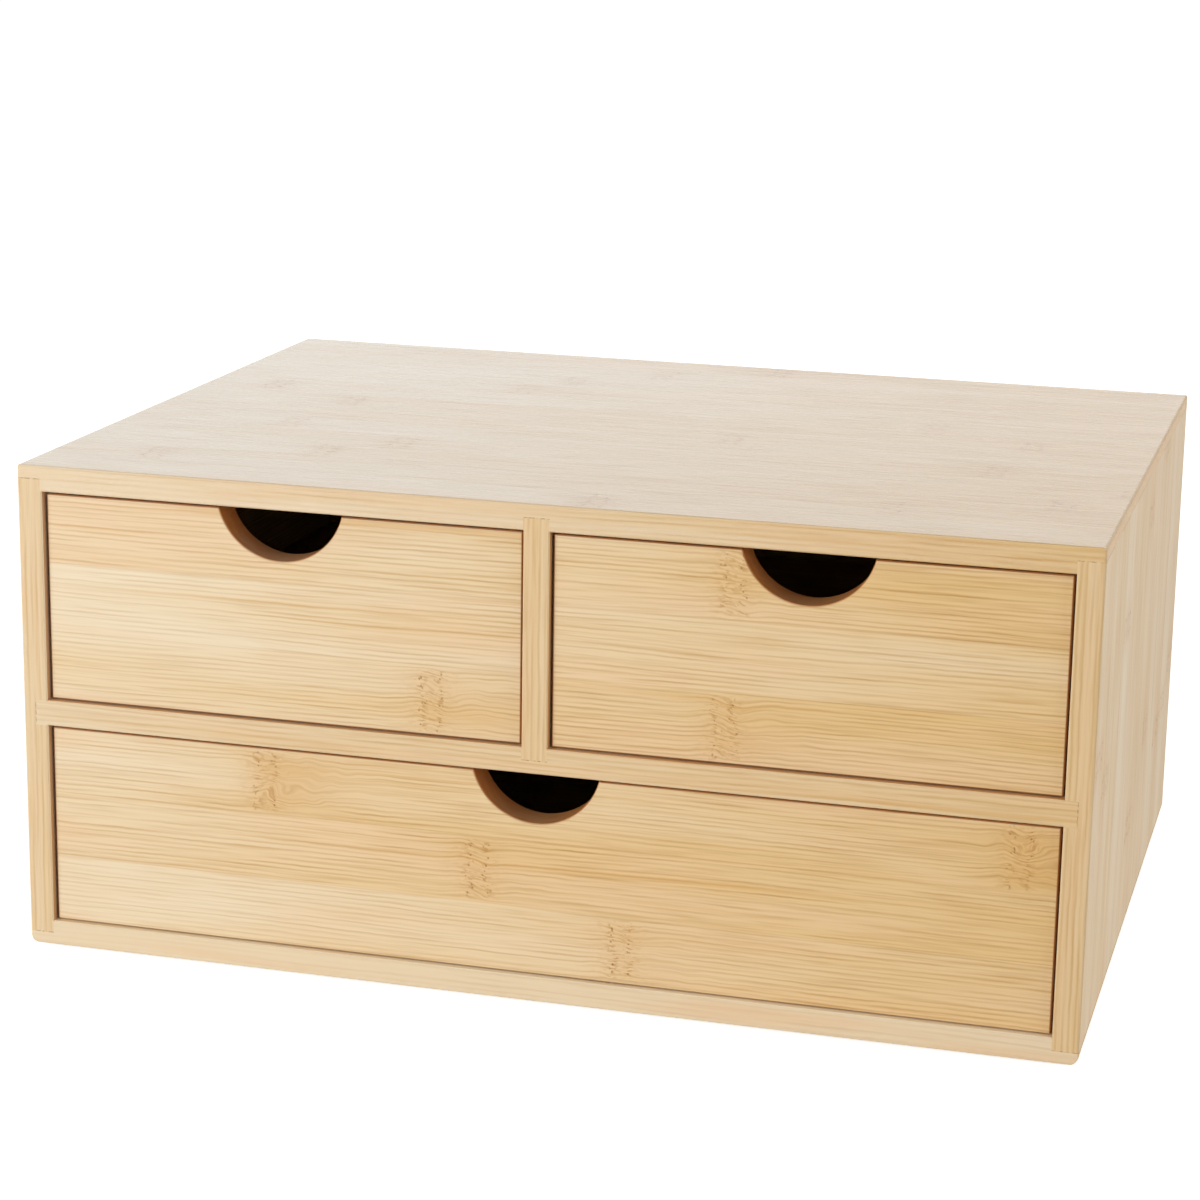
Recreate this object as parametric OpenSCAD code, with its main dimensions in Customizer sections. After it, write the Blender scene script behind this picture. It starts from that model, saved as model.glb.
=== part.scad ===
// Desktop mini drawers: a low bamboo case with two small drawers side by side
// over one full-width drawer. Every drawer front has a half-round finger pull.
// Millimetres. X runs to the right, Y to the back, Z up. The origin is the middle
// of the footprint, level with the undersides of the pads.

/* [Case] */
// Width of the case, left to right
case_w = 330; // [290:1:400]
// Depth of the case, front to back
case_d = 245; // [180:1:320]
// Height of the case, without its pads
case_h = 154; // [145:1:210]
// Thickness of the top, bottom, sides, shelf and divider
board_t = 8; // [7:0.5:12]
// Clear height of the bay under the shelf
lower_bay_h = 64; // [45:1:70]
// How far the divider stands to the right of the middle
divider_shift = 0; // [-40:1:40]

/* [Case joints] */
// Depth of the rabbets and dados that house one board in another
housing_depth = 4; // [2:0.5:5]
// Thickness of the back panel
back_t = 4; // [3:0.5:6]
// How far the back panel stands in from the rear edges
back_inset = 6; // [3:1:15]
// Depth of the groove round the back panel
back_groove = 3; // [1.5:0.5:5]
// Room that a thin panel has at the bottom of its groove
panel_play = 0.3; // [0.1:0.1:1]

/* [Edges] */
// Radius of the two long lower edges, left and right
base_round = 3.5; // [1:0.5:6]
// Radius of the case's other outer edges
edge_round = 1; // [0.5:0.25:2]
// Chamfer on the front edges round the bays
bay_chamfer = 0.4; // [0.2:0.1:0.8]

/* [Drawers] */
// Thickness of the drawer fronts
front_t = 11; // [9:0.5:16]
// Thickness of the drawer sides
side_t = 6; // [5:0.5:9]
// Thickness of the drawer rears
rear_t = 6; // [5:0.5:9]
// Thickness of the drawer bottoms
floor_t = 3; // [2:0.5:4]
// How far the sides and rear stand lower than the front
side_drop = 2; // [1:0.5:10]
// Height of the underside of the drawer bottom above the drawer's lower edge
floor_lift = 4; // [3:0.5:8]
// Radius of the drawer front's four corners
front_corner = 0.75; // [0.5:0.25:4]
// Radius of the edges round the drawer front's face
front_ease = 0.5; // [0.3:0.1:2]
// Radius of the upper edges of the drawer sides and rear
rim_round = 1.5; // [0.5:0.25:2.5]

/* [Drawer joints] */
// Depth of the rabbet in the drawer front that takes the end of a side
lap_depth = 6; // [4:0.5:7]
// Depth of the rabbet in a side that takes the end of the rear
rear_housing = 3; // [1.5:0.5:4]
// Depth of the groove round the drawer bottom
floor_groove = 3; // [1.5:0.5:4]

/* [Finger pulls] */
// Width of a finger pull at the front's upper edge
pull_w = 39; // [32:1:50]
// Depth of a finger pull below the front's upper edge
pull_depth = 15.3; // [10:0.1:16]
// Chamfer on a finger pull's edges
pull_chamfer = 0.4; // [0.2:0.1:1]

/* [Clearances] */
// Gap between a drawer and the bay on its left and right
side_gap = 0.7; // [0.3:0.1:1.5]
// Gap between a drawer front and the top of its bay
top_gap = 0.8; // [0.3:0.1:2]
// Running gap under a drawer
floor_gap = 0.3; // [0.2:0.1:0.5]
// How far a closed drawer's face lies behind the case's front edges
front_recess = 2; // [0.5:0.25:5]
// Gap between a closed drawer and the back panel
stop_gap = 0.3; // [0.2:0.1:1]

/* [Pads] */
// Diameter of the pads under the case
pad_d = 12; // [8:1:20]
// Thickness of the pads
pad_t = 1.5; // [1:0.25:3]
// Distance from the case's edges to a pad's middle
pad_inset = 18; // [14:1:40]
// Chamfer on a pad's lower edge
pad_chamfer = 0.3; // [0.1:0.1:0.8]

/* [Hidden] */
$fn = 64;

// How far a cutter reaches past the face it opens
past = 1;

// Case planes
left_x = -case_w / 2;
right_x = case_w / 2;
front_y = -case_d / 2;
rear_y = case_d / 2;
base_z = pad_t;
top_z = base_z + case_h;

// Faces of the boards that look into the bays
inner_left_x = left_x + board_t;
inner_right_x = right_x - board_t;
divider_left_x = divider_shift - board_t / 2;
divider_right_x = divider_shift + board_t / 2;
floor_z = base_z + board_t;
shelf_low_z = floor_z + lower_bay_h;
shelf_high_z = shelf_low_z + board_t;
ceiling_z = top_z - board_t;

// The back panel's two faces, and the edges of its groove
panel_rear_y = rear_y - back_inset;
panel_front_y = panel_rear_y - back_t;
groove_left_x = inner_left_x - back_groove;
groove_right_x = inner_right_x + back_groove;
groove_low_z = floor_z - back_groove;
groove_high_z = ceiling_z + back_groove;

// A bay is [left x, right x, floor z, ceiling z]
left_bay = [inner_left_x, divider_left_x, shelf_high_z, ceiling_z];
right_bay = [divider_right_x, inner_right_x, shelf_high_z, ceiling_z];
bottom_bay = [inner_left_x, inner_right_x, floor_z, shelf_low_z];

// Planes that all drawers share when closed
face_y = front_y + front_recess;
front_back_y = face_y + front_t;
side_front_y = front_back_y - lap_depth;
drawer_rear_y = panel_front_y - stop_gap;
rear_front_y = drawer_rear_y - rear_t;

// A circle of this radius has the finger pull's width and depth
pull_r = (pow(pull_w / 2, 2) + pow(pull_depth, 2)) / (2 * pull_depth);

// Colours
case_colour = [0.90, 0.78, 0.58];
front_colour = [0.92, 0.80, 0.62];
box_colour = [0.86, 0.72, 0.52];
sheet_colour = [0.82, 0.67, 0.47];
pad_colour = [0.25, 0.25, 0.26];

// ---- Shapes ----

// A box between two corners
module block(low, high) {
    translate(low)
        cube(high - low);
}

// Extrudes an X-Z outline along Y
module along_y(from, to) {
    translate([0, to, 0])
        rotate([90, 0, 0])
            linear_extrude(to - from)
                children();
}

// Extrudes a Y-Z outline along X
module along_x(from, to) {
    translate([from, 0, 0])
        rotate([90, 0, 90])
            linear_extrude(to - from)
                children();
}

// Extrudes an X-Y outline along Z
module along_z(from, to) {
    translate([0, 0, from])
        linear_extrude(to - from)
            children();
}

// The waste between a square corner and its arc; turn runs anticlockwise from lower left
module corner_waste(at, r, turn) {
    translate(at)
        rotate(90 * turn)
            difference() {
                translate([-past, -past])
                    square(r + past);
                translate([r, r])
                    circle(r);
            }
}

// A rectangle with its own radius at each corner:
// [lower left, lower right, upper right, upper left]
module rounded_outline(low, high, radii) {
    corners = [low, [high.x, low.y], high, [low.x, high.y]];
    difference() {
        translate(low)
            square(high - low);
        for (i = [0 : 3])
            if (radii[i] > 0)
                corner_waste(corners[i], radii[i], i);
    }
}

// ---- Case ----

// The whole case's outer form, which every outer board is cut from
module case_form() {
    intersection() {
        along_y(front_y, rear_y)
            rounded_outline([left_x, base_z], [right_x, top_z],
                            [base_round, base_round, edge_round, edge_round]);
        along_x(left_x, right_x)
            rounded_outline([front_y, base_z], [rear_y, top_z],
                            [edge_round, edge_round, edge_round, edge_round]);
        along_z(base_z, top_z)
            rounded_outline([left_x, front_y], [right_x, rear_y],
                            [edge_round, edge_round, edge_round, edge_round]);
    }
}

// A bar with a diamond section along X that chamfers an edge
module chamfer_x(from, to, y, z, size) {
    along_x(from, to)
        translate([y, z])
            rotate(45)
                square(size * sqrt(2), center = true);
}

// The same along Z
module chamfer_z(x, y, from, to, size) {
    along_z(from, to)
        translate([x, y])
            rotate(45)
                square(size * sqrt(2), center = true);
}

// Chamfers round one bay's front edges
module bay_chamfers(bay) {
    for (z = [bay[2], bay[3]])
        chamfer_x(bay[0], bay[1], front_y, z, bay_chamfer);
    for (x = [bay[0], bay[1]])
        chamfer_z(x, front_y, bay[2], bay[3], bay_chamfer);
}

module all_bay_chamfers() {
    bay_chamfers(left_bay);
    bay_chamfers(right_bay);
    bay_chamfers(bottom_bay);
}

// The space of the back panel's groove, through the boards all round it
module back_groove_cut() {
    block([groove_left_x, panel_front_y, groove_low_z],
          [groove_right_x, panel_rear_y, groove_high_z]);
}

// The space that the divider fills, which its dados are cut with
module divider_space() {
    block([divider_left_x, front_y - past, shelf_high_z - housing_depth],
          [divider_right_x, panel_front_y, ceiling_z + housing_depth]);
}

// The space that the shelf fills, which its dados are cut with
module shelf_space() {
    block([inner_left_x - housing_depth, front_y - past, shelf_low_z],
          [inner_right_x + housing_depth, panel_front_y, shelf_high_z]);
}

// The upright space of one side board, rabbet to rabbet
module side_space(outer_x, inner_x) {
    block([min(outer_x, inner_x), front_y - past, floor_z - housing_depth],
          [max(outer_x, inner_x), rear_y + past, ceiling_z + housing_depth]);
}

module both_side_spaces() {
    side_space(left_x - past, inner_left_x);
    side_space(right_x + past, inner_right_x);
}

module top_panel() {
    color(case_colour)
        difference() {
            intersection() {
                case_form();
                block([left_x, front_y, ceiling_z], [right_x, rear_y, top_z]);
            }
            both_side_spaces();
            divider_space();
            back_groove_cut();
            all_bay_chamfers();
        }
}

module bottom_panel() {
    color(case_colour)
        difference() {
            intersection() {
                case_form();
                block([left_x, front_y, base_z], [right_x, rear_y, floor_z]);
            }
            both_side_spaces();
            back_groove_cut();
            all_bay_chamfers();
        }
}

module side_board(outer_x, inner_x) {
    color(case_colour)
        difference() {
            intersection() {
                case_form();
                side_space(outer_x, inner_x);
            }
            shelf_space();
            back_groove_cut();
            all_bay_chamfers();
        }
}

module left_side() {
    side_board(left_x, inner_left_x);
}

module right_side() {
    side_board(right_x, inner_right_x);
}

module middle_shelf() {
    color(case_colour)
        difference() {
            block([inner_left_x - housing_depth, front_y, shelf_low_z],
                  [inner_right_x + housing_depth, panel_front_y, shelf_high_z]);
            divider_space();
            all_bay_chamfers();
        }
}

module centre_divider() {
    color(case_colour)
        difference() {
            block([divider_left_x, front_y, shelf_high_z - housing_depth],
                  [divider_right_x, panel_front_y, ceiling_z + housing_depth]);
            all_bay_chamfers();
        }
}

module back_panel() {
    color(sheet_colour)
        block([groove_left_x + panel_play, panel_front_y, groove_low_z + panel_play],
              [groove_right_x - panel_play, panel_rear_y, groove_high_z - panel_play]);
}

// A round pad near one corner of the underside; the signs pick the corner
module pad(sign_x, sign_y) {
    color(pad_colour)
        translate([sign_x * (case_w / 2 - pad_inset), sign_y * (case_d / 2 - pad_inset), 0]) {
            cylinder(d1 = pad_d - 2 * pad_chamfer, d2 = pad_d, h = pad_chamfer);
            translate([0, 0, pad_chamfer])
                cylinder(d = pad_d, h = pad_t - pad_chamfer);
        }
}

// ---- Drawers ----

// Outer limits of the drawer that fills a bay
function drawer_left_x(bay) = bay[0] + side_gap;
function drawer_right_x(bay) = bay[1] - side_gap;
function drawer_low_z(bay) = bay[2] + floor_gap;
function drawer_high_z(bay) = bay[3] - top_gap;
function rim_z(bay) = drawer_high_z(bay) - side_drop;

// Faces of the drawer sides that look into the drawer
function wall_left_x(bay) = drawer_left_x(bay) + side_t;
function wall_right_x(bay) = drawer_right_x(bay) - side_t;

// The drawer bottom's two faces
function sheet_low_z(bay) = drawer_low_z(bay) + floor_lift;
function sheet_high_z(bay) = sheet_low_z(bay) + floor_t;

// The finger pull: a half-round cut through the front, chamfered at both faces
module finger_pull(bay) {
    mid_x = (bay[0] + bay[1]) / 2;
    mid_z = drawer_high_z(bay) - pull_depth + pull_r;
    translate([mid_x, 0, mid_z])
        rotate([-90, 0, 0]) {
            translate([0, 0, face_y - past])
                cylinder(r = pull_r, h = front_t + 2 * past);
            translate([0, 0, face_y])
                cylinder(r1 = pull_r + pull_chamfer, r2 = pull_r, h = pull_chamfer);
            translate([0, 0, front_back_y - pull_chamfer])
                cylinder(r1 = pull_r, r2 = pull_r + pull_chamfer, h = pull_chamfer);
        }
}

// The groove that the drawer bottom floats in, between two planes across the drawer
module floor_groove_cut(bay, from_y, to_y) {
    block([wall_left_x(bay) - floor_groove, from_y, sheet_low_z(bay)],
          [wall_right_x(bay) + floor_groove, to_y, sheet_high_z(bay)]);
}

// The rabbets at both ends of a drawer front, where the sides lap in
module lap_cuts(bay) {
    low_z = drawer_low_z(bay) - past;
    high_z = drawer_high_z(bay) + past;
    block([drawer_left_x(bay) - past, side_front_y, low_z],
          [wall_left_x(bay), front_back_y + past, high_z]);
    block([wall_right_x(bay), side_front_y, low_z],
          [drawer_right_x(bay) + past, front_back_y + past, high_z]);
}

// A drawer front, eased all round its face
module drawer_front(bay) {
    x0 = drawer_left_x(bay);
    x1 = drawer_right_x(bay);
    z0 = drawer_low_z(bay);
    z1 = drawer_high_z(bay);
    color(front_colour)
        difference() {
            intersection() {
                along_y(face_y, front_back_y)
                    rounded_outline([x0, z0], [x1, z1],
                                    [front_corner, front_corner, front_corner, front_corner]);
                along_x(x0, x1)
                    rounded_outline([face_y, z0], [front_back_y, z1],
                                    [front_ease, 0, 0, front_ease]);
                along_z(z0, z1)
                    rounded_outline([x0, face_y], [x1, front_back_y],
                                    [front_ease, front_ease, 0, 0]);
            }
            lap_cuts(bay);
            floor_groove_cut(bay, front_back_y - floor_groove, front_back_y + past);
            finger_pull(bay);
        }
}

// The rear board's space, which the rabbets in the sides are cut with
module rear_space(bay) {
    block([wall_left_x(bay) - rear_housing, rear_front_y, drawer_low_z(bay) - past],
          [wall_right_x(bay) + rear_housing, drawer_rear_y + past, drawer_high_z(bay)]);
}

// One side of a drawer; its groove runs out at both ends
module drawer_side(bay, from_x, to_x) {
    color(box_colour)
        difference() {
            along_y(side_front_y, drawer_rear_y)
                rounded_outline([from_x, drawer_low_z(bay)], [to_x, rim_z(bay)],
                                [0, 0, rim_round, rim_round]);
            rear_space(bay);
            floor_groove_cut(bay, side_front_y - past, drawer_rear_y + past);
        }
}

module drawer_left_side(bay) {
    drawer_side(bay, drawer_left_x(bay), wall_left_x(bay));
}

module drawer_right_side(bay) {
    drawer_side(bay, wall_right_x(bay), drawer_right_x(bay));
}

module drawer_rear(bay) {
    color(box_colour)
        difference() {
            along_x(wall_left_x(bay) - rear_housing, wall_right_x(bay) + rear_housing)
                rounded_outline([rear_front_y, drawer_low_z(bay)], [drawer_rear_y, rim_z(bay)],
                                [0, 0, rim_round, rim_round]);
            floor_groove_cut(bay, rear_front_y - past, rear_front_y + floor_groove);
        }
}

module drawer_bottom(bay) {
    edge = floor_groove - panel_play;
    color(sheet_colour)
        block([wall_left_x(bay) - edge, front_back_y - edge, sheet_low_z(bay)],
              [wall_right_x(bay) + edge, rear_front_y + edge, sheet_high_z(bay)]);
}

// ---- Assembly ----

top_panel();
bottom_panel();
left_side();
right_side();
middle_shelf();
centre_divider();
back_panel();
pad(-1, -1);  // pad_front_left
pad(1, -1);  // pad_front_right
pad(-1, 1);  // pad_rear_left
pad(1, 1);  // pad_rear_right
drawer_front(left_bay);  // left_drawer_front
drawer_left_side(left_bay);  // left_drawer_left_side
drawer_right_side(left_bay);  // left_drawer_right_side
drawer_rear(left_bay);  // left_drawer_rear
drawer_bottom(left_bay);  // left_drawer_bottom
drawer_front(right_bay);  // right_drawer_front
drawer_left_side(right_bay);  // right_drawer_left_side
drawer_right_side(right_bay);  // right_drawer_right_side
drawer_rear(right_bay);  // right_drawer_rear
drawer_bottom(right_bay);  // right_drawer_bottom
drawer_front(bottom_bay);  // bottom_drawer_front
drawer_left_side(bottom_bay);  // bottom_drawer_left_side
drawer_right_side(bottom_bay);  // bottom_drawer_right_side
drawer_rear(bottom_bay);  // bottom_drawer_rear
drawer_bottom(bottom_bay);  // bottom_drawer_bottom
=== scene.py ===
"""Desktop mini drawers in lacquered bamboo: materials, light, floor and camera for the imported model."""
import math
import random

import bpy
from mathutils import Matrix, Vector


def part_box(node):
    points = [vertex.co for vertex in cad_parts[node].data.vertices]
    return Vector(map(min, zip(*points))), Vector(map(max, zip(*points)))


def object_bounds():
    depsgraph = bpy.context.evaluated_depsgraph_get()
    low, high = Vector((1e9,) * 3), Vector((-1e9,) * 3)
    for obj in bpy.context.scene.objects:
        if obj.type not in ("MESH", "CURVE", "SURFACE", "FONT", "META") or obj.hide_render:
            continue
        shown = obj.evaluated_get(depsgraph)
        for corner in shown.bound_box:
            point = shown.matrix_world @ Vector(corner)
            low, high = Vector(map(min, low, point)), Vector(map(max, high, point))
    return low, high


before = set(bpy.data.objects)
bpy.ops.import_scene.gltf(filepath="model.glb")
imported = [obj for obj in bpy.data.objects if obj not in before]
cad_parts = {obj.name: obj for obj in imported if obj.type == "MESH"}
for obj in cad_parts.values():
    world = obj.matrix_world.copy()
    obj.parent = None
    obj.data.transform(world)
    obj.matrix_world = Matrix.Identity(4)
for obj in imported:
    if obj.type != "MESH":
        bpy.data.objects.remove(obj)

cad_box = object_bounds()
MM = 0.001
outside_low, outside_high = (Vector(corner) / MM for corner in cad_box)

# ---------------------------------------------------------------- camera

IMAGE_PX = 1200.0               # the photograph is square
LENS_PX = 3061.0                # focal length in the photograph's pixels
AXIS_PX = (636.0, 564.0)        # where the camera's own axis meets the photograph
CAMERA_AT = Vector((0.2498, -0.9527, 0.3511))
CAMERA_AZIMUTH = math.radians(14.82)    # how far the view turns from straight ahead
CAMERA_DOWN = math.radians(13.80)
CAMERA_ROLL = math.radians(1.07)
SENSOR_MM = 36.0

# ---------------------------------------------------------------- bamboo, sizes in mm

STRIP_W = 21.0                  # one glued strip of bamboo
INTERNODE = 231.0               # from one knuckle of a strip to the next
FIBRE_PITCH = 1.5               # one dark fibre line to the next
FIBRE_SHARPNESS = 2.6           # 1 is a soft wave, and more makes the dark lines thinner
HAIR_PITCH = 0.75               # the finer lines between them
KNUCKLE_L = 6.5                 # how far a knuckle disturbs the grain
FLAME_L = 17.0                  # how far the swirl beside a knuckle reaches
ROW_OFF = 2.7                   # from a knuckle's middle to each of its two rows of pores
ROW_W = 1.0
ROW_BEND = 6.0                  # how unevenly a row crosses its strip
PORE = 1.5                      # one pore to the next
DASH_L = 2.4                    # short dark dashes inside a knuckle
DASH_W = 0.66
END_PORE = 0.9                  # one pore of an end face to the next
CREVICE = 1.2                   # dashes of the dark line where a board's end meets its housing
PULL_BURN_AND_SHADE_PATCH = 6.0                     # patches of router burn and painted shade along the wall of a finger pull
TOOL_MARK = 1.2                 # and their size from front to back
RELIEF = 0.012                  # how deep fibres and pores are

# how far each movement of the grain shifts a fibre line
WANDER = 3.0
RIPPLE = 0.40
CRINKLE = 0.22
KNUCKLE_CRINKLE = 0.5
KNUCKLE_SWIRL = 1.6
FLAME_SWIRL = 10.0
SLANT_LEAST = 0.08              # how steeply fibres cross a knuckle
SLANT_RANGE = 0.22

# how strongly each thing colours the wood, from 0 to 1
TINT_RANGE = 0.25
CLOUD_RANGE = 0.95
BLUSH_SHARE = 0.45
STREAK_SHARE = 0.45
KNUCKLE_SHARE = 0.17
FLAME_SHARE = 0.40
FIBRE_LEAST = 0.30
FIBRE_RANGE = 0.34
HAIR_LEAST = 0.14
HAIR_RANGE = 0.28
SEAM_SHARE = 0.16
TICK_SHARE = 0.62
PORE_SHARE = 0.7
CREVICE_SHARE = 0.7
END_PORE_SHARE = 0.30
# painted shade laid in the bays' mouths, in the gaps round the drawers
BAY_SHADE_SHARE = 0.65
# painted shade along the drawer fronts' eased edges, in the gaps round them
EDGE_SHADE_SHARE = 0.85
# router burn and painted shade on the finger pulls' walls
PULL_BURN_AND_SHADE_LEAST = 0.45
PULL_BURN_AND_SHADE_RANGE = 0.3

# roughness, and what is added to it
LACQUER = 0.38
FIBRE_ROUGH = 0.06
END_ROUGH = 0.20
PORE_ROUGH = 0.15
BARE_ROUGH = 0.30

# steps between the places in the noise that boards and their strips take their pattern from
BOARD_STEP = 40.0
STRIP_STEP = 7.3


def srgb(red, green, blue):
    """A colour written as 8-bit sRGB, as the linear colour that a shader takes."""
    def linear(value):
        c = value / 255.0
        return c / 12.92 if c <= 0.04045 else ((c + 0.055) / 1.055) ** 2.4
    return (linear(red), linear(green), linear(blue), 1.0)


CREAM = srgb(234, 216, 185)
HONEY = srgb(223, 187, 127)
BLUSH = srgb(231, 196, 154)
AMBER = srgb(212, 162, 88)
FIBRE = srgb(190, 145, 82)
TICK = srgb(178, 124, 54)
PORE_BROWN = srgb(140, 84, 30)
END_GRAIN = srgb(222, 186, 134)
# brown of the end-grain pores, and of the router burn with painted shade on the finger pulls' walls
PORE_BURN_AND_SHADE_BROWN = srgb(180, 104, 38)
# painted shade in the bays' mouths, round the drawers
BAY_SHADE_BROWN = srgb(188, 118, 46)
# painted shade along the drawer fronts' eased edges
EDGE_SHADE_BROWN = srgb(142, 80, 26)
GLUE_LINE = srgb(112, 66, 28)
RUBBER = srgb(92, 92, 90)
RUBBER_DUST = srgb(128, 126, 120)


class Field:
    """A number that varies over a surface. Plain arithmetic on it adds math nodes."""

    def __init__(self, sheet, socket):
        self.sheet = sheet
        self.socket = socket

    def __add__(self, other):
        return self.sheet.math("ADD", self, other)

    def __radd__(self, other):
        return self.sheet.math("ADD", other, self)

    def __sub__(self, other):
        return self.sheet.math("SUBTRACT", self, other)

    def __rsub__(self, other):
        return self.sheet.math("SUBTRACT", other, self)

    def __mul__(self, other):
        return self.sheet.math("MULTIPLY", self, other)

    def __rmul__(self, other):
        return self.sheet.math("MULTIPLY", other, self)

    def __truediv__(self, other):
        return self.sheet.math("DIVIDE", self, other)

    def __pow__(self, other):
        return self.sheet.math("POWER", self, other)

    def __abs__(self):
        return self.sheet.math("ABSOLUTE", self)


class Sheet:
    """A node material being written: each call adds one node and gives its output."""

    def __init__(self, name):
        self.material = bpy.data.materials.new(name)
        self.material.use_nodes = True
        self.tree = self.material.node_tree
        self.tree.nodes.clear()

    def node(self, kind, **settings):
        made = self.tree.nodes.new(kind)
        for key, value in settings.items():
            setattr(made, key, value)
        return made

    def plug(self, socket, value):
        if isinstance(value, Field):
            value = value.socket
        if isinstance(value, bpy.types.NodeSocket):
            self.tree.links.new(value, socket)
        else:
            socket.default_value = value

    def math(self, operation, *values):
        made = self.node("ShaderNodeMath", operation=operation)
        for socket, value in zip(made.inputs, values):
            self.plug(socket, value)
        return Field(self, made.outputs[0])

    def rise(self, value, low, high):
        """0 where value is below low, 1 above high, smooth between. It falls if low is above high."""
        made = self.node("ShaderNodeMapRange", interpolation_type="SMOOTHSTEP")
        self.plug(made.inputs["Value"], value)
        made.inputs["From Min"].default_value = low
        made.inputs["From Max"].default_value = high
        return Field(self, made.outputs["Result"])

    def bell(self, value, width):
        """1 where value is 0, falling off to both sides over about width."""
        ratio = value / width
        return self.math("EXPONENT", 0.0 - ratio * ratio)

    def vector(self, x, y, z):
        made = self.node("ShaderNodeCombineXYZ")
        for socket, value in zip(made.inputs, (x, y, z)):
            self.plug(socket, value)
        return made.outputs[0]

    def parts(self, vector):
        made = self.node("ShaderNodeSeparateXYZ")
        self.plug(made.inputs[0], vector)
        return [Field(self, output) for output in made.outputs]

    def noise(self, x, y, z, detail=1.0):
        made = self.node("ShaderNodeTexNoise", noise_dimensions="3D")
        self.plug(made.inputs["Vector"], self.vector(x, y, z))
        made.inputs["Scale"].default_value = 1.0
        made.inputs["Detail"].default_value = detail
        return Field(self, made.outputs["Fac"])

    def cells(self, x, y, z):
        """Distance to the nearest of scattered points, about one in each unit cell."""
        made = self.node("ShaderNodeTexVoronoi", feature="F1")
        self.plug(made.inputs["Vector"], self.vector(x, y, z))
        made.inputs["Scale"].default_value = 1.0
        return Field(self, made.outputs["Distance"])

    def mix(self, factor, first, second):
        made = self.node("ShaderNodeMix", data_type="RGBA")
        made.clamp_factor = True
        self.plug(made.inputs[0], factor)
        self.plug(made.inputs[6], first)
        self.plug(made.inputs[7], second)
        return made.outputs[2]

    def bump(self, height, depth):
        made = self.node("ShaderNodeBump")
        made.inputs["Strength"].default_value = 1.0
        made.inputs["Distance"].default_value = depth
        self.plug(made.inputs["Height"], height)
        return made.outputs[0]

    def finish(self, **inputs):
        """Ends the sheet in one shader, with the inputs given by their names."""
        shader = self.node("ShaderNodeBsdfPrincipled")
        for name, value in inputs.items():
            self.plug(shader.inputs[name.replace("_", " ")], value)
        return self.surface(shader.outputs[0])

    def surface(self, socket):
        output = self.node("ShaderNodeOutputMaterial")
        self.tree.links.new(socket, output.inputs["Surface"])
        return self.material


class Board:
    """One bamboo board: its corners in mm, its grain directions and its strips."""

    def __init__(self, node, axes, tone, knuckles=None, pull=None, lean=0.0, rough=LACQUER,
                 flame=None, clean_foot=False):
        self.node = node
        self.axes = axes                # letters of the directions along, across and through
        self.tone = tone                # 0 is cream, 1 is honey
        self.lean = lean                # painted light: how much more honey there is 100 mm to the right, the left drawn paler as if lit from there
        self.rough = rough
        self.pull = pull                # centre x, centre z and radius of the finger pull
        self.clean_foot = clean_foot    # True for the two boards at the lowest gap, where no painted shade is laid
        self.low, self.high = (Vector(corner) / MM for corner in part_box(node))
        self.seed = sorted(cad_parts).index(node)
        dice = random.Random(self.seed)
        across = "XYZ".index(axes[1])
        self.across_low = self.low[across]
        width = self.high[across] - self.across_low
        self.strips = max(1, round(width / STRIP_W))
        self.strip_w = width / self.strips
        self.knuckles = [dice.uniform(-0.5, 0.5) * INTERNODE for _ in range(self.strips)]
        for strip, along in (knuckles or {}).items():
            self.knuckles[strip] = along
        self.tints = [dice.uniform(0.0, 1.0) for _ in range(self.strips)]
        self.flames = [dice.uniform(0.0, 0.45) for _ in range(self.strips)]
        if flame is not None:
            self.flames[flame] = 1.0


class Grain:
    """The point being shaded as the board's grain has it. Lengths are in mm."""

    def __init__(self, sheet, board):
        coordinates = sheet.node("ShaderNodeTexCoord")
        millimetres = sheet.node("ShaderNodeVectorMath", operation="SCALE")
        sheet.plug(millimetres.inputs[0], coordinates.outputs["Object"])
        millimetres.inputs["Scale"].default_value = 1.0 / MM
        self.sheet = sheet
        self.position = dict(zip("XYZ", sheet.parts(millimetres.outputs[0])))
        self.normal = dict(zip("XYZ", sheet.parts(coordinates.outputs["Normal"])))
        self.along, self.across, self.through = (self.position[letter] for letter in board.axes)
        self.board_seed = BOARD_STEP * board.seed

        strip_place = (self.across - board.across_low) / board.strip_w
        index = sheet.math("MAXIMUM", sheet.math("FLOOR", strip_place), 0.0)
        index = sheet.math("MINIMUM", index, board.strips - 1.0)
        knuckle_at, self.tint, self.flame = strip_card(sheet, board, index)
        self.off_middle = abs(strip_place - index - 0.5)    # in strip widths
        self.seed = index * STRIP_STEP + self.board_seed
        half = 0.5 * INTERNODE
        self.from_knuckle = sheet.math("WRAP", self.along - knuckle_at, half, -half)

    def patches(self, length, width, thickness, offset=0.0):
        """Noise in patches of about this size, drawn anew for each strip."""
        place = self.through / thickness + self.seed
        if offset:
            place = place + offset
        return self.sheet.noise(self.along / length, self.across / width, place)


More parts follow.
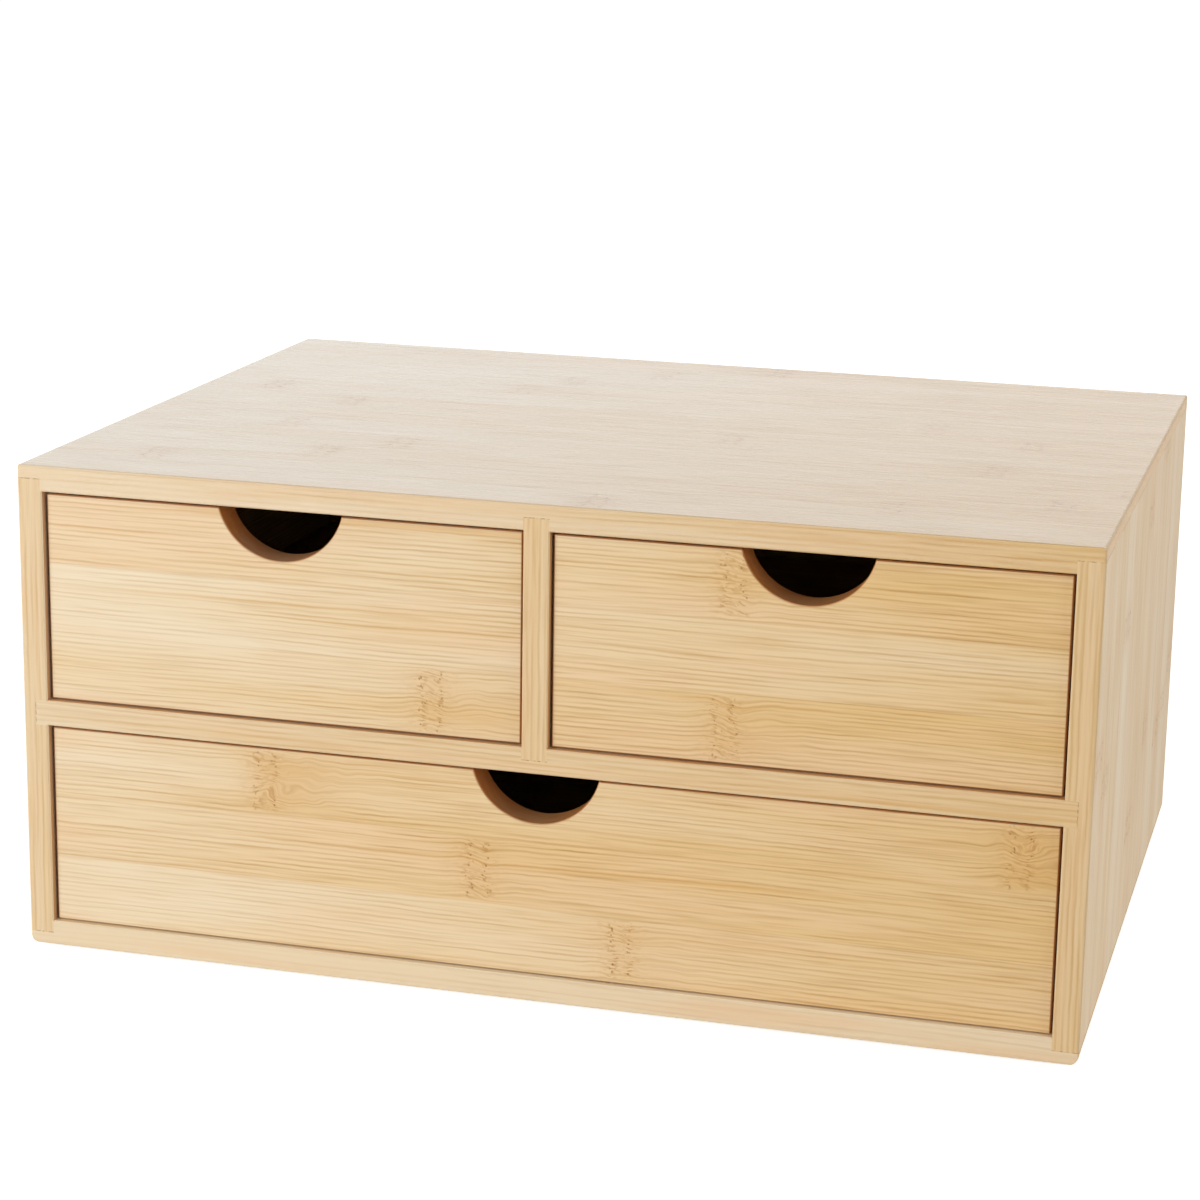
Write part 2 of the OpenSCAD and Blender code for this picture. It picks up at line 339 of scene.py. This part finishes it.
def strip_card(sheet, board, index):
    """What differs from strip to strip: where its knuckle is, in mm, its tint and its swirl."""
    ramp = sheet.node("ShaderNodeValToRGB")
    ramp.color_ramp.interpolation = "CONSTANT"
    stops = ramp.color_ramp.elements
    while len(stops) < board.strips:
        stops.new(0.5)
    while len(stops) > board.strips:
        stops.remove(stops[-1])
    for i in range(board.strips):
        stops[i].position = i / board.strips
        knuckle = board.knuckles[i] / (2.0 * INTERNODE) + 0.5
        stops[i].color = (knuckle, board.tints[i], board.flames[i], 1.0)
    sheet.plug(ramp.inputs[0], (index + 0.5) / board.strips)
    split = sheet.node("ShaderNodeSeparateColor")
    sheet.plug(split.inputs[0], ramp.outputs[0])
    knuckle = (Field(sheet, split.outputs[0]) - 0.5) * (2.0 * INTERNODE)
    return knuckle, Field(sheet, split.outputs[1]), Field(sheet, split.outputs[2])


def insets(position, low, high):
    """How far inside a box a point is, sideways and upwards, from the nearer of its two sides."""
    middle = (low + high) / 2.0
    half = (high - low) / 2.0
    return half.x - abs(position["X"] - middle.x), half.z - abs(position["Z"] - middle.z)


def bay_wall(sheet, position):
    """1 on the bays' bare walls, and 1 just behind their front edges, where painted shade is laid."""
    inset_x, inset_z = insets(position, outside_low, outside_high)
    inside = sheet.rise(sheet.math("MINIMUM", inset_x, inset_z), 5.0, 7.0)
    depth = position["Y"] - outside_low.y
    return inside * sheet.rise(depth, 0.35, 0.6), sheet.rise(depth, 2.6, 2.0)


def front_edge_shade(sheet, board, position):
    """1 on the eased edges round a drawer front's face and just behind them, where painted shade is laid.
    """
    inset_x, inset_z = insets(position, board.low, board.high)
    # no painted shade along the lower edge at the lowest gap
    if board.clean_foot:
        inset_z = board.high.z - position["Z"]
    outermost = sheet.rise(sheet.math("MINIMUM", inset_x, inset_z), 0.62, 0.30)
    return outermost * sheet.rise(position["Y"] - board.low.y, 3.0, 1.0)


def pull_wall(sheet, board, position):
    """How dark the wall of the finger pull is drawn, and 0 off it: partly router burn, partly painted
    shade. Its two ends are drawn darkest and its bottom lightest, as light falls on it.
    """
    centre_x, centre_z, radius = board.pull
    reach_x = position["X"] - centre_x
    reach_z = position["Z"] - centre_z
    reach = (reach_x * reach_x + reach_z * reach_z) ** 0.5
    marks = sheet.noise(reach_x / PULL_BURN_AND_SHADE_PATCH, reach_z / PULL_BURN_AND_SHADE_PATCH, position["Y"] / TOOL_MARK)
    # painted shade: darkest at the two ends of the arc, lightest at its bottom
    burn_and_shade = PULL_BURN_AND_SHADE_LEAST + PULL_BURN_AND_SHADE_RANGE * marks + PULL_BURN_AND_SHADE_RANGE * abs(reach_x / radius)
    return sheet.rise(reach, radius + 0.34, radius + 0.08) * burn_and_shade


def end_crevice(grain, board):
    """1 in the broken dark line where the board's ends meet their housings."""
    s = grain.sheet
    place = "XYZ".index(board.axes[0])
    middle = (board.low[place] + board.high[place]) / 2.0
    half = (board.high[place] - board.low[place]) / 2.0
    from_end = half - abs(grain.along - middle)
    position = grain.position
    patches = s.noise(position["X"] / CREVICE, grain.seed, position["Z"] / CREVICE)
    return s.rise(from_end, 0.34, 0.10) * s.rise(patches, 0.36, 0.62)


def bamboo(board):
    """Lacquered bamboo strips: fibre lines along the grain, knuckles across it, pores at the ends."""
    s = Sheet("bamboo_" + board.node)
    grain = Grain(s, board)
    along, across, through, seed = grain.along, grain.across, grain.through, grain.seed

    # knuckles: where the grain is disturbed, their two rows of pores, and the swirl beside some
    inside_strip = s.rise(grain.off_middle, 0.5, 0.38)
    disturbed = s.bell(grain.from_knuckle, KNUCKLE_L) * inside_strip
    row_bend = (s.noise(across / 5.0, through / 5.0, seed) - 0.5) * ROW_BEND
    left_row = s.bell(grain.from_knuckle + ROW_OFF + row_bend, ROW_W)
    right_row = s.bell(grain.from_knuckle - ROW_OFF + row_bend, ROW_W)
    rows = s.math("MINIMUM", left_row + right_row, 1.0) * inside_strip
    beside = s.bell(grain.from_knuckle - 0.6 * FLAME_L, FLAME_L)
    flaming = beside * grain.flame * s.rise(grain.off_middle, 0.56, 0.2)

    # level is the same all along one fibre
    drift = (grain.patches(120.0, 22.0, 22.0) - 0.5) * WANDER
    drift = drift + (grain.patches(13.0, 7.0, 7.0) - 0.5) * RIPPLE
    drift = drift + (grain.patches(3.6, 2.6, 2.6) - 0.5) * (CRINKLE + KNUCKLE_CRINKLE * disturbed)
    swirling = disturbed * KNUCKLE_SWIRL + flaming * FLAME_SWIRL
    drift = drift + (grain.patches(11.0, 7.0, 7.0) - 0.5) * swirling
    drift = drift + disturbed * grain.from_knuckle * (SLANT_LEAST + SLANT_RANGE * grain.tint)
    level = across + 0.85 * through + drift

    # lines and marks
    strength = s.rise(s.noise(along / 38.0, level / 1.1, seed), 0.26, 0.68)
    wave = s.math("COSINE", level * (2.0 * math.pi / FIBRE_PITCH)) * 0.5 + 0.5
    fibres = wave ** FIBRE_SHARPNESS * strength * (1.0 - 0.3 * flaming)
    hairs = s.rise(s.noise(along / 26.0, level / HAIR_PITCH, seed, detail=2.0), 0.42, 0.74)
    streaks = s.rise(s.noise(along / 240.0, level / 2.6, seed + 3.0), 0.62, 0.80)
    cloud = grain.patches(160.0, 14.0, 4.0)
    blush = s.rise(grain.patches(90.0, 16.0, 5.0, offset=5.0), 0.46, 0.72)
    pores = rows * s.rise(s.cells(along / PORE, level / PORE, seed), 0.30, 0.16)
    dashes = s.rise(s.noise(along / DASH_L, level / DASH_W, seed + 9.0), 0.52, 0.62)
    ticks = dashes * (disturbed * 0.50 + rows * 0.50)
    end_face = s.rise(abs(grain.normal[board.axes[0]]), 0.62, 0.86)
    end_pores = s.rise(s.cells(across / END_PORE, through / END_PORE, grain.board_seed), 0.50, 0.24)

    # colour, each tone over the ones before it
    amount = board.tone + (grain.tint - 0.5) * TINT_RANGE + (cloud - 0.5) * CLOUD_RANGE
    # painted light: paler to the left and more honey to the right, as the light falls across the boards
    amount = amount + grain.position["X"] * (board.lean / 100.0)
    fibre_share = fibres * (FIBRE_LEAST + FIBRE_RANGE * amount)
    hair_share = hairs * (HAIR_LEAST + HAIR_RANGE * amount)
    amber_share = streaks * STREAK_SHARE + disturbed * KNUCKLE_SHARE + flaming * FLAME_SHARE
    colour = s.mix(amount, CREAM, HONEY)
    colour = s.mix(blush * BLUSH_SHARE, colour, BLUSH)
    colour = s.mix(amber_share, colour, AMBER)
    colour = s.mix(fibre_share + hair_share, colour, FIBRE)
    colour = s.mix(s.rise(grain.off_middle, 0.484, 0.498) * SEAM_SHARE, colour, FIBRE)
    colour = s.mix(ticks * TICK_SHARE, colour, TICK)
    colour = s.mix(pores * PORE_SHARE, colour, PORE_BROWN)
    colour = s.mix(end_crevice(grain, board) * CREVICE_SHARE, colour, GLUE_LINE)
    colour = s.mix(end_face, colour, s.mix(end_pores * END_PORE_SHARE, END_GRAIN, PORE_BURN_AND_SHADE_BROWN))

    rough = board.rough + FIBRE_ROUGH * fibres + FIBRE_ROUGH * (hairs - 0.5)
    rough = rough + END_ROUGH * end_face + PORE_ROUGH * pores
    if board.pull:
        # router burn and painted shade on the finger pull's wall
        colour = s.mix(pull_wall(s, board, grain.position), colour, PORE_BURN_AND_SHADE_BROWN)
        # painted shade along the front's eased edges, in the gap round the drawer
        colour = s.mix(front_edge_shade(s, board, grain.position) * EDGE_SHADE_SHARE, colour, EDGE_SHADE_BROWN)
    else:
        wall, bay_mouth_shade = bay_wall(s, grain.position)
        # painted shade in the bays' mouths round the drawer fronts, left out at the lowest gap
        if not board.clean_foot:
            colour = s.mix(wall * bay_mouth_shade * BAY_SHADE_SHARE, colour, BAY_SHADE_BROWN)
        rough = rough + BARE_ROUGH * wall

    relief = (1.0 - end_face) * (0.5 * fibres + 0.4 * hairs) + end_face * end_pores + pores
    return s.finish(
        Base_Color=colour,
        Roughness=rough,
        Normal=s.bump(0.0 - relief, RELIEF * MM),
    )


def rubber():
    """Soft anti-slip rubber: dull grey, finely pitted, with dust in the pits."""
    s = Sheet("rubber")
    coordinates = s.node("ShaderNodeTexCoord")
    x, y, z = s.parts(coordinates.outputs["Object"])
    pit = 0.5 * MM
    patch = 3.0 * MM
    pits = s.rise(s.cells(x / pit, y / pit, z / pit), 0.45, 0.15)
    grime = s.noise(x / patch, y / patch, z / patch, detail=3.0)
    return s.finish(
        Base_Color=s.mix(pits * 0.5 + (grime - 0.4) * 0.8, RUBBER, RUBBER_DUST),
        Roughness=0.72 + 0.2 * (grime - 0.5),
        Normal=s.bump(0.0 - pits, 0.04 * MM),
    )


# ---------------------------------------------------------------- boards

PULL_W = 39.0
PULL_DEPTH = 15.3
# painted light on the drawer fronts, paler to the left
DRAWER_PAINTED_LIGHT_SLOPE = 0.22


def finger_pull(node):
    """Centre and radius of the arc cut into the upper edge of a drawer front, in mm."""
    low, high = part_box(node)
    radius = (PULL_W * PULL_W / 4.0 + PULL_DEPTH * PULL_DEPTH) / (2.0 * PULL_DEPTH)
    return ((low.x + high.x) / (2.0 * MM), high.z / MM - PULL_DEPTH + radius, radius)


def drawer_boards(drawer, tone, knuckles, **more):
    """The five boards of one drawer."""
    front = drawer + "_drawer_front"
    return [
        Board(front, "XZY", tone, knuckles, finger_pull(front), DRAWER_PAINTED_LIGHT_SLOPE, **more),
        Board(drawer + "_drawer_left_side", "YZX", 0.45),
        Board(drawer + "_drawer_right_side", "YZX", 0.50),
        Board(drawer + "_drawer_rear", "XZY", 0.45),
        Board(drawer + "_drawer_bottom", "XYZ", 0.40),
    ]


# the numbers in braces are strips, and where along each its knuckle is, in mm
boards = [
    Board("top_panel", "XYZ", 0.40, {0: 15.0, 2: 146.0, 4: 120.0, 7: 91.0}, lean=0.38, rough=0.27),
    Board("bottom_panel", "XYZ", -0.36, {0: 23.0}, lean=0.10, clean_foot=True),
    Board("left_side", "ZYX", 0.34, {0: 230.0}),
    Board("right_side", "ZYX", 0.50, {0: 91.0}, rough=0.48),
    Board("middle_shelf", "XYZ", 0.32, {0: 47.0}, lean=0.12),
    Board("centre_divider", "ZYX", 0.60, {0: 230.0}),
    Board("back_panel", "XZY", 0.45),
]
boards += drawer_boards("left", 0.47, {0: -33.0, 1: 35.0, 2: 35.0})
boards += drawer_boards("right", 0.50, {0: 57.0, 1: -35.0, 2: 59.0})
boards += drawer_boards("bottom", 0.58, {0: 27.0, 1: -18.0, 2: -86.0}, flame=2, clean_foot=True)

for board in boards:
    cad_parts[board.node].material_slots[0].material = bamboo(board)

pad_rubber = rubber()
for name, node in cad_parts.items():
    if name.startswith("pad_"):
        node.material_slots[0].material = pad_rubber

# ---------------------------------------------------------------- floor, world and lamps

FLOOR_SPAN = 12.0
FLOOR_WHITE = 0.80
GLOW_NEAR = 0.74                # the floor's share of the white that the camera and gloss see
GLOW_FAR = 0.86
NEAR = 0.35                     # how far from the object's middle each of the two holds, in metres
FAR = 1.10
AMBIENT = 0.24
OBJECT_MIDDLE = (0.0, 0.0, 0.08)


def seen_directly(tree):
    """1 for rays of the camera, of gloss and of glass, and 0 for rays that carry light."""
    path = tree.nodes.new("ShaderNodeLightPath")
    total = path.outputs["Is Camera Ray"]
    for name in ("Is Glossy Ray", "Is Transmission Ray"):
        add = tree.nodes.new("ShaderNodeMath")
        add.operation = "ADD"
        add.use_clamp = True
        tree.links.new(total, add.inputs[0])
        tree.links.new(path.outputs[name], add.inputs[1])
        total = add.outputs[0]
    return total


def floor_material():
    """Matt white that takes shadows, with a glow that only the camera and gloss see."""
    s = Sheet("floor")
    matt = s.node("ShaderNodeBsdfDiffuse")
    s.plug(matt.inputs["Color"], (FLOOR_WHITE, FLOOR_WHITE, FLOOR_WHITE, 1.0))
    coordinates = s.node("ShaderNodeTexCoord")
    distance = s.node("ShaderNodeVectorMath", operation="LENGTH")
    s.plug(distance.inputs[0], coordinates.outputs["Object"])
    level = s.node("ShaderNodeMapRange")
    s.plug(level.inputs["Value"], distance.outputs["Value"])
    s.plug(level.inputs["From Min"], NEAR)
    s.plug(level.inputs["From Max"], FAR)
    s.plug(level.inputs["To Min"], GLOW_NEAR)
    s.plug(level.inputs["To Max"], GLOW_FAR)
    glow = s.node("ShaderNodeEmission")
    s.plug(glow.inputs["Strength"], s.math("MULTIPLY", seen_directly(s.tree), level.outputs[0]))
    both = s.node("ShaderNodeAddShader")
    s.plug(both.inputs[0], matt.outputs[0])
    s.plug(both.inputs[1], glow.outputs[0])
    return s.surface(both.outputs[0])


def add_floor():
    half = FLOOR_SPAN / 2.0
    mesh = bpy.data.meshes.new("floor")
    corners = [(-half, -half, 0.0), (half, -half, 0.0), (half, half, 0.0), (-half, half, 0.0)]
    mesh.from_pydata(corners, [], [(0, 1, 2, 3)])
    mesh.materials.append(floor_material())
    floor = bpy.data.objects.new("floor", mesh)
    bpy.context.scene.collection.objects.link(floor)


def set_world():
    """White to the camera and to gloss, and a softer even light for everything else."""
    world = bpy.data.worlds.new("studio")
    bpy.context.scene.world = world
    world.use_nodes = True
    tree = world.node_tree
    background = tree.nodes["Background"]
    background.inputs["Color"].default_value = (1.0, 1.0, 1.0, 1.0)
    level = tree.nodes.new("ShaderNodeMapRange")
    level.inputs["To Min"].default_value = AMBIENT
    level.inputs["To Max"].default_value = 1.0
    tree.links.new(seen_directly(tree), level.inputs["Value"])
    tree.links.new(level.outputs[0], background.inputs["Strength"])


def add_softbox(name, place, width, height, radiance):
    """A flat lamp whose face is as bright as radiance, where 1 is white, aimed at the object.

    One that is brighter than white lights the boards but isn't mirrored in their lacquer,
    where it would clip.
    """
    lamp = bpy.data.lights.new(name, "AREA")
    lamp.shape = "RECTANGLE"
    lamp.size = width
    lamp.size_y = height
    lamp.energy = radiance * math.pi * width * height
    softbox = bpy.data.objects.new(name, lamp)
    softbox.location = place
    softbox.visible_camera = False
    softbox.visible_glossy = radiance <= 1.0
    direction = Vector(OBJECT_MIDDLE) - Vector(place)
    softbox.rotation_euler = direction.to_track_quat("-Z", "Y").to_euler()
    bpy.context.scene.collection.objects.link(softbox)


def add_camera():
    """A camera where the photograph's was, worked out from the object's corners in it."""
    forward = Vector((
        -math.sin(CAMERA_AZIMUTH) * math.cos(CAMERA_DOWN),
        math.cos(CAMERA_AZIMUTH) * math.cos(CAMERA_DOWN),
        -math.sin(CAMERA_DOWN),
    ))
    level_right = forward.cross(Vector((0.0, 0.0, 1.0))).normalized()
    level_up = level_right.cross(forward)
    right = math.cos(CAMERA_ROLL) * level_right + math.sin(CAMERA_ROLL) * level_up
    up = math.cos(CAMERA_ROLL) * level_up - math.sin(CAMERA_ROLL) * level_right
    turn = Matrix((right, up, -forward)).transposed().to_4x4()
    lens = bpy.data.cameras.new("camera")
    lens.sensor_width = SENSOR_MM
    lens.lens = LENS_PX / IMAGE_PX * SENSOR_MM
    lens.shift_x = (IMAGE_PX / 2.0 - AXIS_PX[0]) / IMAGE_PX
    lens.shift_y = (AXIS_PX[1] - IMAGE_PX / 2.0) / IMAGE_PX
    camera = bpy.data.objects.new("camera", lens)
    camera.matrix_world = Matrix.Translation(CAMERA_AT) @ turn
    bpy.context.scene.collection.objects.link(camera)
    bpy.context.scene.camera = camera


add_floor()
set_world()
add_softbox("key", (-1.0, -1.5, 0.42), 1.1, 0.8, 7.8)
add_softbox("fill", (2.0, -0.6, 0.6), 1.2, 1.1, 3.2)
add_softbox("back", (-0.75, 2.6, 0.80), 2.4, 1.3, 0.62)
add_softbox("rear", (-0.5, 2.3, 0.40), 1.4, 0.7, 4.2)
add_softbox("overhead", (0.25, -0.15, 1.60), 1.2, 1.0, 0.9)
add_camera()
bpy.context.scene.view_settings.view_transform = "Standard"
